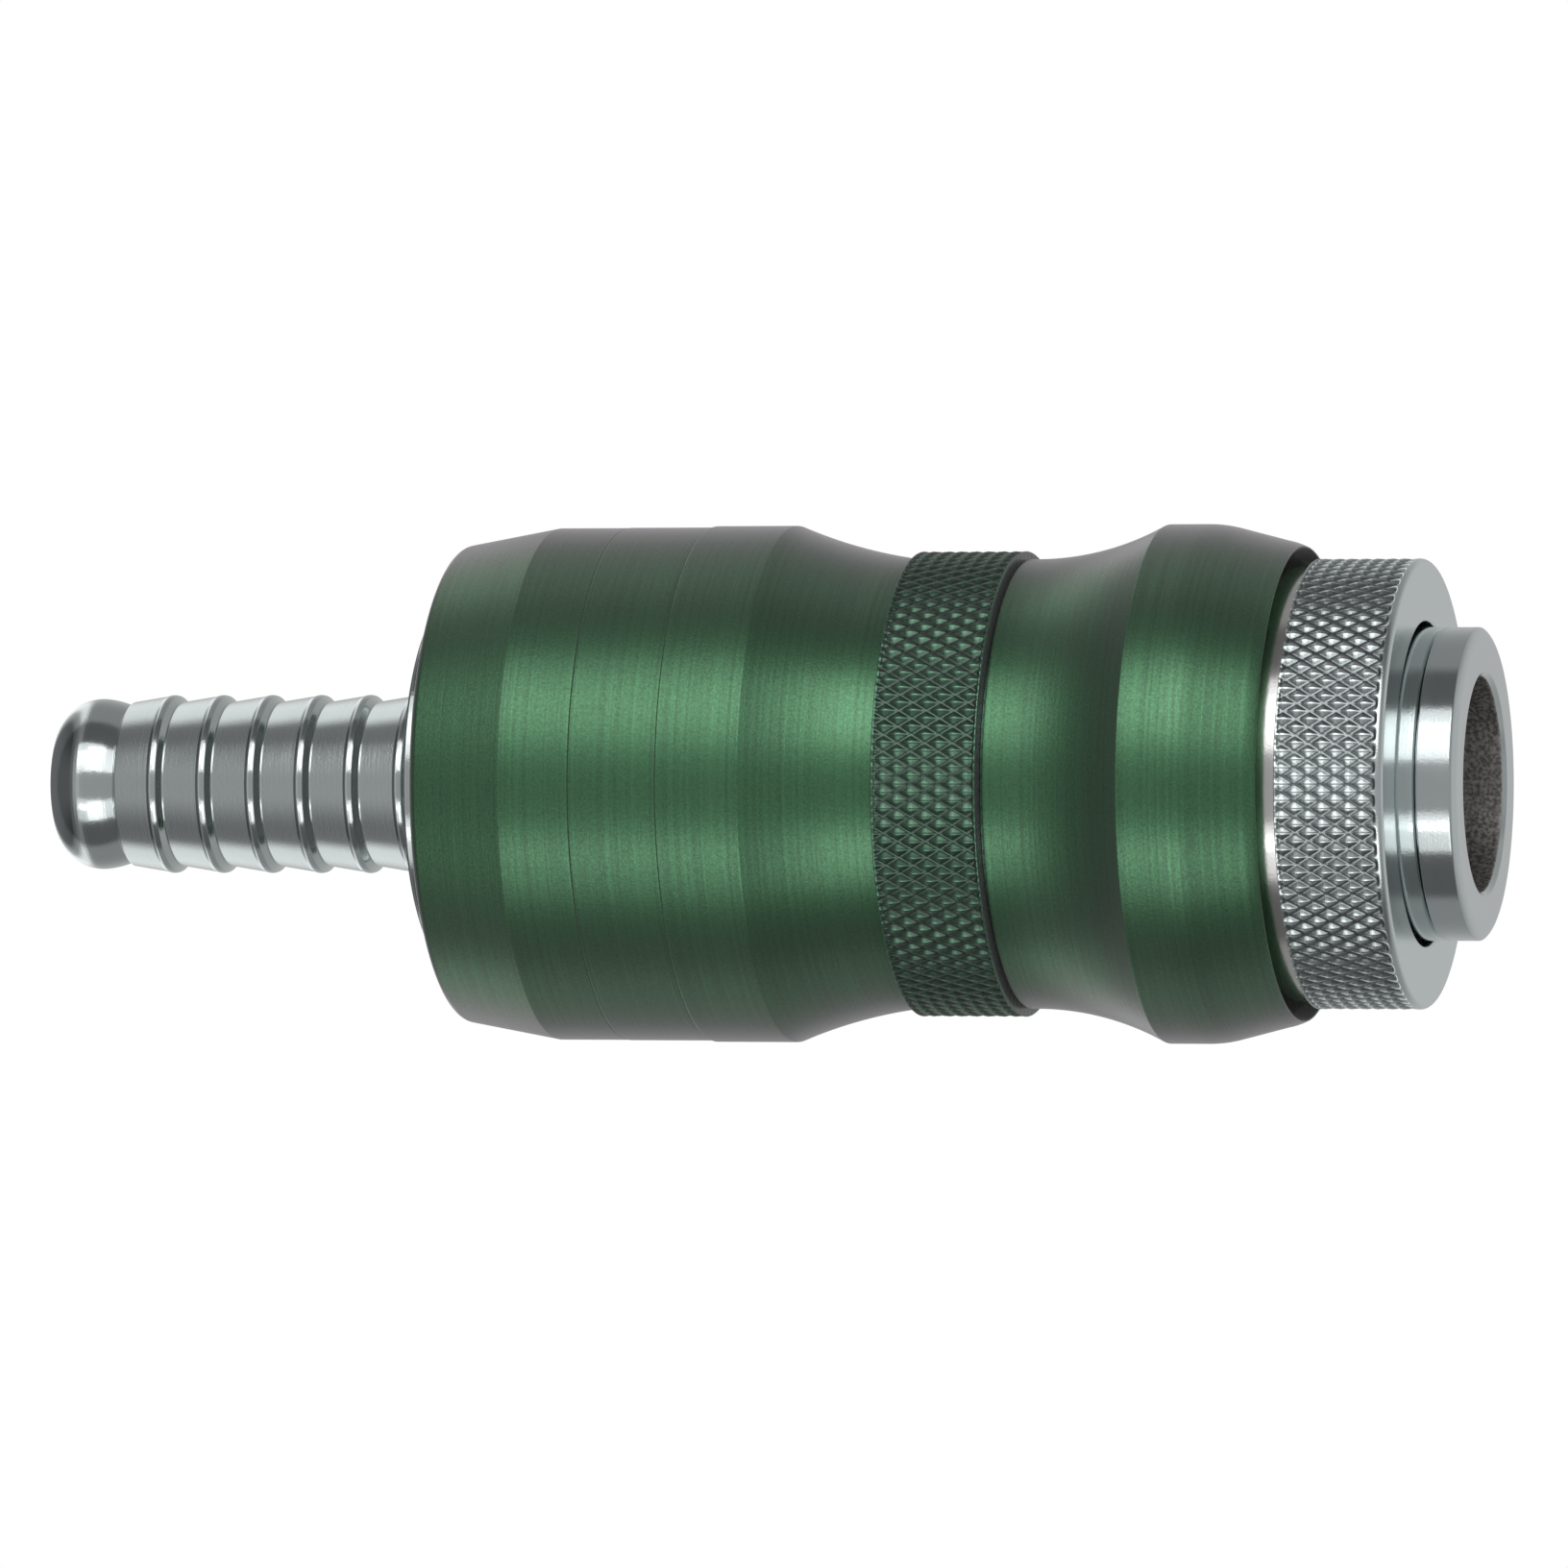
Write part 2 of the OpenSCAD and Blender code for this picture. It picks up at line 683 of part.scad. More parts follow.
// Hose tail: flange and journal of the swivel, then the barbs and the rounded end
module hose_tail() {
    // A barb rises slowly from the end of the tail to a rounded crest, and drops steeply behind it
    crest = 0.35;
    crest_sag = 0.08;
    drop = 0.4;
    neck_r = root_r + 0.2;
    bulb_neck_r = root_r - 0.36;
    bulb_r = barb_r - 0.3;
    z_bulb_full = z_bulb + bulb_len * 0.42;
    lip_r = tail_bore_r + 0.5;
    seal_groove_w = 2 * tail_seal_r + 0.3;
    dust_groove_w = 2 * dust_seal_r + 0.3;
    barbs = [
        for (k = [0:barb_count - 1])
            let (z = z_barb + k * barb_pitch, foot = k == 0 ? neck_r : root_r)
            each concat(
                [[foot, z - crest - drop]],
                arc_points([barb_r - crest_sag, z - crest], [barb_r - crest_sag, z + crest], -crest_sag, 4),
                [[root_r, z + barb_pitch - crest - drop - 0.1]]
            )
    ];
    bulb_rise = arc_points([bulb_neck_r, z_bulb], [bulb_r, z_bulb_full], -0.1, 6);
    end_round = arc_points([bulb_r, z_bulb_full], [lip_r, z_tip_end], -0.52, 12);
    color(nickel) difference() {
        turned(concat(
            [
                [funnel_r, z_flange_front],
                [flange_r, z_flange_front],
                [flange_r, z_flange_rear],
                [journal_r, z_flange_rear],
                [journal_r, z_collar_ring - fit],
                [spigot_tail_r, z_collar_ring - fit],
                [spigot_tail_r, z_neck + 0.35],
                [neck_r, z_neck + 0.65]
            ],
            barbs,
            bulb_rise,
            end_round,
            [
                [tail_bore_r + 0.1, z_tip_end - 0.08],
                [tail_bore_r, z_tip_end - 0.35],
                [tail_bore_r, z_flange_front + funnel_depth]
            ]
        ));
        groove(flange_r - 2 * tail_seal_r, flange_r + 1, z_tail_seal, seal_groove_w);
        groove(journal_r - 2 * dust_seal_r, journal_r + 1, z_dust_seal, dust_groove_w);
    }
}

// Collar pressed on the hose tail behind the rear cap
module tail_collar() {
    round_r = 0.2;
    collar_r = collar_d / 2;
    color(nickel) turned([
        [spigot_tail_r + fit, z_collar_ring],
        [collar_r - round_r, z_collar_ring],
        [collar_r, z_collar_ring + round_r],
        [collar_r, z_neck - round_r],
        [collar_r - round_r, z_neck],
        [spigot_tail_r + fit, z_neck]
    ]);
}

// Seal round the swivel flange
module tail_seal() {
    color(rubber) seal_ring(flange_r - tail_seal_r + 0.03, z_tail_seal, tail_seal_r - 0.01);
}

// Seal round the journal, which keeps dirt out
module dust_seal() {
    color(rubber) seal_ring(journal_r - dust_seal_r + 0.01, z_dust_seal, dust_seal_r - 0.01);
}

// Thrust washers on both sides of the swivel flange
module thrust_washer_front() {
    color(white_plastic) ring(flow_r - 0.1, swivel_r - 0.15, z_washer_front, z_washer_front + washer_w);
}

module thrust_washer_rear() {
    color(white_plastic) ring(journal_r + 0.1, swivel_r - 0.15, z_washer_rear, z_washer_rear + washer_w);
}

// Snap ring that holds the hose tail in the swivel body
module swivel_clip() {
    color(spring_steel) snap_ring(swivel_r - swivel_clip_in, swivel_r + swivel_clip_out, z_swivel_clip,
        z_swivel_clip + clip_w, clip_gap);
}

nose_ring();
socket_body();
lock_ball(1);  // lock_ball_1
lock_ball(2);  // lock_ball_2
lock_ball(3);  // lock_ball_3
lock_ball(4);  // lock_ball_4
lock_ball(5);  // lock_ball_5
lock_ball(6);  // lock_ball_6
release_sleeve();
sleeve_stop_ring();
sleeve_spring();
socket_seal();
front_shell();
lock_ring();
lock_pin();
mid_shell();
spacer_ring();
rear_cap();
swivel_body();
body_seal();
valve_poppet();
valve_seal();
valve_spring();
spring_seat();
spring_seat_clip();
hose_tail();
tail_collar();
tail_seal();
dust_seal();
thrust_washer_front();
thrust_washer_rear();
swivel_clip();
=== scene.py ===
import math

import bpy
import numpy as np
from mathutils import Matrix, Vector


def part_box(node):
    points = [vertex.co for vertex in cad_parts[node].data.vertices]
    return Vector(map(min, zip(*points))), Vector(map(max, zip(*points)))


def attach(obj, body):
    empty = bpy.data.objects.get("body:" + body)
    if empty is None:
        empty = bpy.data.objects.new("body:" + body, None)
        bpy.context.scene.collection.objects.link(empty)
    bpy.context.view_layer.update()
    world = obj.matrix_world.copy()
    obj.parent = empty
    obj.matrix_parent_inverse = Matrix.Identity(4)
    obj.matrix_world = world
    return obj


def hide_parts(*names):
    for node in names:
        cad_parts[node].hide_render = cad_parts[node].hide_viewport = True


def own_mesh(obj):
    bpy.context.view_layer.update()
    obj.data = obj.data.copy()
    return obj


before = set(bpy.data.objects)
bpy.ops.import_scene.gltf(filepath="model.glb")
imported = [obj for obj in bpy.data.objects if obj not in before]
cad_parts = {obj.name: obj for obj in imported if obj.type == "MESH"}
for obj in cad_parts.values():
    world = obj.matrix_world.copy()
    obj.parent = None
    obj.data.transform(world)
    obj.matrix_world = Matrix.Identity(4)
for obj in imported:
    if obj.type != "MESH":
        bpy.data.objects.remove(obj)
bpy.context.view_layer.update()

# The camera looks at the coupling from the side, 14 degrees towards its nose, with the nose to the right.
# The coupling stands on its nose, so the camera lies on its side: what is up in the picture is the part's +X.
MM = 0.001
IMAGE_PX = 1632
SENSOR_MM = 36
TURN_TO_NOSE = math.radians(14)
PX_PER_MM = 13.2
FOCAL_PX = 15500
LOOK_AT = np.array([0.0, 0.0, 56.34]) * MM

distance = FOCAL_PX / PX_PER_MM * MM
back = np.array([0.0, -math.cos(TURN_TO_NOSE), -math.sin(TURN_TO_NOSE)])
up = np.array([1.0, 0.0, 0.0])
right = np.cross(up, back)
camera_data = bpy.data.cameras.new("camera")
camera_data.sensor_width = SENSOR_MM
camera_data.lens = FOCAL_PX / IMAGE_PX * SENSOR_MM
camera_data.clip_start = 0.05
camera_data.clip_end = 50
camera = bpy.data.objects.new("camera", camera_data)
bpy.context.scene.collection.objects.link(camera)
pose = np.eye(4)
pose[:3, 0], pose[:3, 1], pose[:3, 2], pose[:3, 3] = right, up, back, LOOK_AT + back * distance
camera.matrix_world = Matrix(pose)
bpy.context.scene.camera = camera
bpy.context.scene.view_settings.view_transform = "Standard"


# The studio is a white room. The camera sees it white. Metal sees it by direction instead, in bands that are
# bright behind the coupling and dim round the rest, where flags would keep the room out of the turned
# surfaces, so its edges go grey, not white.
def linear(code):
    """An sRGB hex colour as linear red, green, blue and alpha: below 0.04045 the value over 12.92, above it
    ((value + 0.055) / 1.055) to the power 2.4."""
    values = np.array([int(code[i : i + 2], 16) for i in (1, 3, 5)]) / 255
    low = values / 12.92
    high = ((values + 0.055) / 1.055) ** 2.4
    return [float(v) for v in np.where(values <= 0.04045, low, high)] + [1.0]


def add(tree, kind, sockets=None, **settings):
    """Adds a node, sets its settings, and sets or links its input sockets."""
    node = tree.nodes.new(kind)
    for name, value in settings.items():
        setattr(node, name, value)
    for name, value in (sockets or {}).items():
        if isinstance(value, bpy.types.NodeSocket):
            tree.links.new(value, node.inputs[name])
        else:
            node.inputs[name].default_value = value
    return node


world = bpy.data.worlds.new("white_room")
bpy.context.scene.world = world
world.use_nodes = True
room = world.node_tree
room.nodes.clear()
rays = add(room, "ShaderNodeLightPath")
heading = add(room, "ShaderNodeTexCoord")
way = add(room, "ShaderNodeSeparateXYZ", {0: heading.outputs["Generated"]})
sideways = add(room, "ShaderNodeMath", {0: way.outputs["X"]}, operation="ABSOLUTE")
# How bright metal sees the room, by direction. Each band goes smoothly from one level to another between two
# places: middle and behind are the back wall, rising and ending bound a brighter strip high up on it that
# far_behind sets, and overhead dims the ceiling.
BANDS = {
    "middle": (sideways.outputs[0], 0.2, 0.9, 0.32, 0.1),
    "behind": (way.outputs["Y"], -0.04, 0.12, 0.0, 0.15),
    "far_behind": (way.outputs["Y"], 0.0, 0.3, 0.12, 0.58),
    "rising": (way.outputs["Z"], 0.3, 0.4, 0.0, 1.0),
    "ending": (way.outputs["Z"], 0.45, 0.57, 1.0, 0.0),
    "overhead": (way.outputs["Z"], 0.58, 0.7, 1.0, 0.3),
}
band = {
    name: add(
        room,
        "ShaderNodeMapRange",
        {"Value": place, "From Min": start, "From Max": end, "To Min": first, "To Max": last},
        interpolation_type="SMOOTHSTEP",
    ).outputs[0]
    for name, (place, start, end, first, last) in BANDS.items()
}
strip = add(room, "ShaderNodeMath", {0: band["rising"], 1: band["ending"]}, operation="MULTIPLY")
wall = add(room, "ShaderNodeMath", {0: band["middle"], 1: band["behind"]}, operation="ADD")
walls = add(
    room,
    "ShaderNodeMath",
    {0: strip.outputs[0], 1: band["far_behind"], 2: wall.outputs[0]},
    operation="MULTIPLY_ADD",
)
level = add(room, "ShaderNodeMath", {0: walls.outputs[0], 1: band["overhead"]}, operation="MULTIPLY")
mirrored = add(
    room,
    "ShaderNodeMath",
    {0: rays.outputs["Is Glossy Ray"], 1: rays.outputs["Is Transmission Ray"]},
    operation="MAXIMUM",
)
in_metal = add(room, "ShaderNodeMath", {0: mirrored.outputs[0], 1: level.outputs[0]}, operation="MULTIPLY")
FILL = 0.45
soft = add(room, "ShaderNodeMath", {0: rays.outputs["Is Diffuse Ray"], 1: FILL}, operation="MULTIPLY")
unseen = add(room, "ShaderNodeMath", {0: in_metal.outputs[0], 1: soft.outputs[0]}, operation="MAXIMUM")
white = add(
    room,
    "ShaderNodeMath",
    {0: rays.outputs["Is Camera Ray"], 1: unseen.outputs[0]},
    operation="MAXIMUM",
)
shine = add(room, "ShaderNodeBackground", {"Color": linear("#ffffff"), "Strength": white.outputs[0]})
add(room, "ShaderNodeOutputWorld", {"Surface": shine.outputs[0]})


def softbox(name, around, above, width, height, level, far=0.9, in_gloss=True):
    """A softbox aimed at the middle of the coupling: around is its angle from the camera's side towards +X,
    above its angle over the level of the middle, and level its brightness, where 1 is white. Its power is
    pi times its area times that level."""
    a, e = math.radians(around), math.radians(above)
    away = np.array([math.sin(a) * math.cos(e), -math.cos(a) * math.cos(e), math.sin(e)])
    lamp = bpy.data.lights.new(name, "AREA")
    lamp.shape = "RECTANGLE"
    lamp.size, lamp.size_y = width, height
    lamp.energy = math.pi * width * height * level
    box = bpy.data.objects.new(name, lamp)
    bpy.context.scene.collection.objects.link(box)
    side = np.cross([0.0, 0.0, 1.0], away)
    side /= np.linalg.norm(side)
    turn = np.eye(4)
    turn[:3, 0], turn[:3, 1], turn[:3, 2] = side, np.cross(away, side), away
    turn[:3, 3] = LOOK_AT + away * far
    box.matrix_world = Matrix(turn)
    box.visible_camera = False
    box.visible_glossy = in_gloss


# Two tall softboxes stand beside the camera, above and below it as the picture has it. Each has a brighter
# core and a part nearer the floor. They make the two long highlights. A large one fills the matt surfaces.
softbox("upper_softbox_tall", 37, 9, 0.64, 0.75, 0.78)
softbox("upper_softbox_core", 36, 9, 0.28, 0.70, 0.60)
softbox("upper_softbox_low", 35, -12, 0.55, 0.6, 0.85)
softbox("lower_softbox_tall", -36, 7, 0.48, 0.70, 0.55)
softbox("lower_softbox_core", -31, 7, 0.09, 0.65, 1.30)
softbox("lower_softbox_low", -37, -12, 0.42, 0.6, 0.65)
softbox("overhead_fill", 60, 55, 1.2, 1.2, 1.4, far=1.4, in_gloss=False)


# A pale floor lies under the nose. Only a camera that looks down on it sees it: from below and for all
# other rays it isn't there, and towards its rim it fades into the white room.
def mesh_object(name, points, faces, smooth=True):
    """A mesh object from an array of points, in metres, and a list of faces."""
    mesh = bpy.data.meshes.new(name)
    mesh.from_pydata(np.asarray(points).tolist(), [], faces)
    mesh.polygons.foreach_set("use_smooth", np.full(len(mesh.polygons), smooth))
    mesh.update()
    piece = bpy.data.objects.new(name, mesh)
    bpy.context.scene.collection.objects.link(piece)
    return piece


def material(name):
    """An empty node material with an output node."""
    made = bpy.data.materials.new(name)
    made.use_nodes = True
    made.node_tree.nodes.clear()
    add(made.node_tree, "ShaderNodeOutputMaterial")
    return made


def finish(tree, shader):
    """Links a shader to the material's output."""
    tree.links.new(shader.outputs[0], tree.nodes["Material Output"].inputs["Surface"])


def dress(piece, skin):
    """Puts one material on a piece, new or carried over."""
    piece.data.materials.clear()
    piece.data.materials.append(skin)
    return piece


FLOOR_SIZE = 3.0
FADE_FROM, FADE_TO = 0.25, 0.75
corner = FLOOR_SIZE / 2
floor = mesh_object(
    "floor",
    [[-corner, -corner, 0], [corner, -corner, 0], [corner, corner, 0], [-corner, corner, 0]],
    [[0, 1, 2, 3]],
    smooth=False,
)
paper = material("white_paper")
tree = paper.node_tree
rays = add(tree, "ShaderNodeLightPath")
face = add(tree, "ShaderNodeNewGeometry")
place = add(tree, "ShaderNodeTexCoord")
reach = add(tree, "ShaderNodeVectorMath", {0: place.outputs["Object"]}, operation="LENGTH").outputs["Value"]
fade = add(
    tree,
    "ShaderNodeMapRange",
    {"Value": reach, "From Min": FADE_FROM, "From Max": FADE_TO, "To Min": 1.0, "To Max": 0.0},
    interpolation_type="SMOOTHSTEP",
)
front = add(tree, "ShaderNodeMath", {0: 1.0, 1: face.outputs["Backfacing"]}, operation="SUBTRACT")
camera_ray = rays.outputs["Is Camera Ray"]
seen = add(tree, "ShaderNodeMath", {0: camera_ray, 1: front.outputs[0]}, operation="MULTIPLY")
share = add(tree, "ShaderNodeMath", {0: seen.outputs[0], 1: fade.outputs[0]}, operation="MULTIPLY")
clear = add(tree, "ShaderNodeBsdfTransparent")
matt = add(tree, "ShaderNodeBsdfDiffuse", {"Color": linear("#f4f4f2")})
both = add(tree, "ShaderNodeMixShader", {0: share.outputs[0], 1: clear.outputs[0], 2: matt.outputs[0]})
finish(tree, both)
dress(floor, paper)


# The nose ring is turned from steel and nickel plated. It guides the plug, and screws into the socket body.
# Its front face is flat, and a small round leads from it to the bright outside.
def span(node):
    """The lowest and highest height of a CAD node, and its radius, in millimetres."""
    low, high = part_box(node)
    return low[2] / MM, high[2] / MM, high[1] / MM


def arc(a, b, sag, steps=8):
    """Points on the circular arc from a to b. Its middle stands off the straight line by sag, to the left of
    the way, and its radius is (half the chord squared plus sag squared) over twice the sag."""
    a, b = np.array(a, float), np.array(b, float)
    chord = np.linalg.norm(b - a)
    along = (b - a) / chord
    left = np.array([-along[1], along[0]]) * np.sign(sag)
    depth = abs(sag)
    radius = (chord**2 / 4 + depth**2) / (2 * depth)
    half = math.asin(chord / (2 * radius))
    turn = np.linspace(-half, half, steps + 1)[:, None]
    centre = (a + b) / 2 - left * (radius - depth)
    return (centre + left * radius * np.cos(turn) + along * radius * np.sin(turn)).tolist()


def eased(corners, size, steps=3, bend=math.radians(15)):
    """A closed section whose corners are rounded by size. A corner is a point where the line turns by more
    than bend. It becomes a quadratic curve between the points that lie size before and after it, or a third
    of the side where the side is short."""
    ring = np.array(corners, float)
    before, after = np.roll(ring, 1, axis=0) - ring, np.roll(ring, -1, axis=0) - ring
    before_len = np.linalg.norm(before, axis=1, keepdims=True)
    after_len = np.linalg.norm(after, axis=1, keepdims=True)
    first = ring + before / before_len * np.minimum(size, before_len / 3)
    last = ring + after / after_len * np.minimum(size, after_len / 3)
    t = np.linspace(0, 1, steps + 1)[None, :, None]
    curve = (1 - t) ** 2 * first[:, None] + 2 * t * (1 - t) * ring[:, None] + t**2 * last[:, None]
    straight = -(before * after).sum(axis=1) > np.cos(bend) * (before_len * after_len)[:, 0]
    curve[straight, 0] = ring[straight]
    kept = np.ones(curve.shape[:2], bool)
    kept[straight, 1:] = False
    return curve[kept]


def held(points, size=0.06):
    """The points of an open line, with one more close to both ends of each long side. They keep the smooth
    shading of a flat stretch flat, and the corners crisp."""
    line = np.array(points, float)
    way = line[1:] - line[:-1]
    length = np.linalg.norm(way, axis=1, keepdims=True)
    step = way / np.maximum(length, 1e-9) * size
    inner = np.stack([line[:-1], line[:-1] + step, line[1:] - step], axis=1)
    kept = np.hstack([np.ones_like(length, bool), length > 4 * size, length > 4 * size])
    return np.vstack([inner[kept], line[-1:]])


def carried_round(name, r, z):
    """A ring of faces through a grid of radii and heights, one row for each point of a closed section and one
    column for each angle: x = r cos a, y = r sin a."""
    rows, sides = r.shape
    angle = np.linspace(0, 2 * math.pi, sides, endpoint=False)
    grid = np.stack([r * np.cos(angle), r * np.sin(angle), z], axis=-1) * MM
    i, k = np.meshgrid(np.arange(rows), np.arange(sides), indexing="ij")
    i2, k2 = (i + 1) % rows, (k + 1) % sides
    faces = np.stack([i * sides + k, i * sides + k2, i2 * sides + k2, i2 * sides + k], axis=-1)
    return mesh_object(name, grid.reshape(-1, 3), faces.reshape(-1, 4).tolist())


def turned(name, section, sides=288):
    """A turned part: a closed section of [radius, height] points in millimetres, carried round the axis."""
    ring = held(np.vstack([section, section[:1]]))[:-1]
    return carried_round(name, np.repeat(ring[:, :1], sides, axis=1), np.repeat(ring[:, 1:], sides, axis=1))


def second_skin(piece, skin, chosen):
    """Gives a piece one more material, on the faces that chosen picks by the radius and the height of their
    middles, in millimetres."""
    piece.data.materials.append(skin)
    middles = np.empty(3 * len(piece.data.polygons))
    piece.data.polygons.foreach_get("center", middles)
    x, y, z = middles.reshape(-1, 3).T / MM
    piece.data.polygons.foreach_set("material_index", chosen(np.hypot(x, y), z).astype(int))


# Turning leaves fine rings in the surface. The real ones are about 0.1 mm apart; they are drawn up to 0.3 mm
# apart here, so that they still show at this size.
RELIEF = 0.03 * MM


def turning_marks(tree, spacing_mm, strength, drift=0.004):
    """Rings across the axis: noise that runs fast along Z and slowly round the part. Returns the noise value
    and a bumped normal."""
    place = add(tree, "ShaderNodeTexCoord")
    squeeze = add(
        tree,
        "ShaderNodeMapping",
        {"Vector": place.outputs["Object"], "Scale": (drift, drift, 1.0)},
    )
    rings = add(
        tree,
        "ShaderNodeTexNoise",
        {"Vector": squeeze.outputs[0], "Scale": 1 / (spacing_mm * MM), "Detail": 4.0, "Roughness": 0.65},
    )
    relief = add(
        tree,
        "ShaderNodeBump",
        {"Height": rings.outputs["Fac"], "Strength": strength, "Distance": RELIEF},
    )
    return rings.outputs["Fac"], relief.outputs["Normal"]


# Handling leaves clouds in the shine, about 6 mm wide. The pits of the skin are drawn 0.2 mm apart, coarser
# than they are, so that they show.
CLOUDS_PER_MM = 0.16
PITS_PER_MM = 5.0


def turned_metal(name, tint, low, high, spacing_mm=0.28, strength=0.12, stain=None, stain_mm=0.5):
    """Bright turned metal with fine rings, faint clouds and a skin of small pits. Low and high are its
    roughness. A stain is a second colour in specks of its own size."""
    made = material(name)
    tree = made.node_tree
    rings, normal = turning_marks(tree, spacing_mm, strength)
    place = add(tree, "ShaderNodeTexCoord")
    cloud = add(
        tree,
        "ShaderNodeTexNoise",
        {"Vector": place.outputs["Object"], "Scale": CLOUDS_PER_MM / MM, "Detail": 5.0},
    )
    both = add(tree, "ShaderNodeMath", {0: rings, 1: cloud.outputs["Fac"]}, operation="ADD")
    rough = add(
        tree,
        "ShaderNodeMapRange",
        {"Value": both.outputs[0], "From Min": 0.6, "From Max": 1.4, "To Min": low, "To Max": high},
    )
    pits = add(
        tree,
        "ShaderNodeTexNoise",
        {"Vector": place.outputs["Object"], "Scale": PITS_PER_MM / MM, "Detail": 2.0},
    )
    pitted = add(
        tree,
        "ShaderNodeBump",
        {"Height": pits.outputs["Fac"], "Strength": 0.15, "Distance": RELIEF, "Normal": normal},
    )
    colour = linear(tint)
    if stain:
        specks = add(
            tree,
            "ShaderNodeTexNoise",
            {"Vector": place.outputs["Object"], "Scale": 1 / (stain_mm * MM), "Detail": 3.0},
        ).outputs["Fac"]
        share = add(
            tree,
            "ShaderNodeMapRange",
            {"Value": specks, "From Min": 0.38, "From Max": 0.62, "To Min": 0.0, "To Max": 1.0},
        )
        colour = add(
            tree,
            "ShaderNodeMix",
            {"Factor": share.outputs[0], 6: linear(tint), 7: linear(stain)},
            data_type="RGBA",
        ).outputs[2]
    skin = add(
        tree,
        "ShaderNodeBsdfPrincipled",
        {
            "Base Color": colour,
            "Metallic": 1.0,
            "Roughness": rough.outputs[0],
            "Normal": pitted.outputs["Normal"],
        },
    )
    finish(tree, skin)
    return made


# Nickel plate keeps the turning marks and is bright over them. The bore is left as it was drilled, in coarse
# marks with old stains, so it is dull and speckled.
bright_nickel = turned_metal("nickel_plated_steel", "#e0e8e8", 0.08, 0.20)
bored_steel = turned_metal(
    "bored_steel", "#d4d2cf", 0.42, 0.62, spacing_mm=0.6, strength=0.5, stain="#908b86", stain_mm=0.3
)
_, z_ring_end, nose_r = span("nose_ring")
z_seam, _, body_r = span("socket_body")
PLUG_R = 8.4
MOUTH_CHAMFER = 0.4
SEAM = 0.3
NOSE_EDGE_W, NOSE_EDGE_LEN, NOSE_EDGE_SAG = 1.0, 0.45, 0.12
spigot_r = (PLUG_R + nose_r) / 2
nose_section = (
    [[PLUG_R + MOUTH_CHAMFER, 0]]
    + arc([nose_r - NOSE_EDGE_W, 0], [nose_r, NOSE_EDGE_LEN], -NOSE_EDGE_SAG)
    + [
        [nose_r, z_seam - SEAM / 2],
        [nose_r - SEAM, z_seam - SEAM / 3],
        [nose_r - 3 * SEAM, z_seam - SEAM / 3],
        [nose_r - 3 * SEAM, z_seam],
        [spigot_r, z_seam],
        [spigot_r, z_ring_end],
        [PLUG_R, z_ring_end],
        [PLUG_R, MOUTH_CHAMFER],
    ]
)
NOSE_EASE = 0.06
nose_ring = dress(turned("front_nose_ring", eased(nose_section, NOSE_EASE)), bright_nickel)
second_skin(nose_ring, bored_steel, lambda r, z: r < PLUG_R + 0.05)
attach(nose_ring, "housing")
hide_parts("nose_ring")

# The socket body carries everything. Its ball holes, seal groove and valve seat are real in the solid, so
# the solid stays and gets the same nickel. So does the swivel body behind it.
for node in ("socket_body", "swivel_body"):
    dress(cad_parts[node], bright_nickel)

# The small inside parts keep their solids. Balls and pin are hardened and ground, so they shine. Wire is
# duller from the drawing die, and the brass of the valve is turned. Seals are black and matt, moulded in
# nitrile rubber, and the bearing washers are white plastic with a slight gloss.
hard_steel = turned_metal("hardened_steel", "#b9bcbe", 0.08, 0.16, strength=0.02)
wire_steel = turned_metal("drawn_spring_wire", "#9b9ea1", 0.22, 0.38, spacing_mm=0.5, strength=0.05)
turned_brass = turned_metal("turned_brass", "#c9a25c", 0.18, 0.34)


def moulded(name, tint, low, high, grain_mm):
    """A moulded part: a matt skin with a fine grain."""
    made = material(name)
    tree = made.node_tree
    place = add(tree, "ShaderNodeTexCoord")
    grain = add(
        tree,
        "ShaderNodeTexNoise",
        {"Vector": place.outputs["Object"], "Scale": 1 / (grain_mm * MM), "Detail": 3.0},
    ).outputs["Fac"]
    relief = add(tree, "ShaderNodeBump", {"Height": grain, "Strength": 0.1, "Distance": 0.02 * MM})
    rough = add(
        tree,
        "ShaderNodeMapRange",
        {"Value": grain, "From Min": 0.3, "From Max": 0.7, "To Min": low, "To Max": high},
    )
    skin = add(
        tree,
        "ShaderNodeBsdfPrincipled",
        {
            "Base Color": linear(tint),
            "Roughness": rough.outputs[0],
            "Normal": relief.outputs["Normal"],
        },
    )
    finish(tree, skin)
    return made


nitrile = moulded("nitrile_rubber", "#1a1a1b", 0.5, 0.7, 0.4)
bearing_white = moulded("white_bearing_plastic", "#dedcd2", 0.4, 0.55, 0.6)
BALLS = 6
for skin, names in (
    (hard_steel, ["lock_pin"] + [f"lock_ball_{k}" for k in range(1, BALLS + 1)]),
    (wire_steel, ["sleeve_stop_ring", "spring_seat_clip", "swivel_clip"]),
    (turned_brass, ["valve_poppet", "spring_seat"]),
    (nitrile, ["socket_seal", "body_seal", "valve_seal", "tail_seal", "dust_seal"]),
    (bearing_white, ["thrust_washer_front", "thrust_washer_rear"]),
):
    for node in names:
        dress(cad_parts[node], skin)
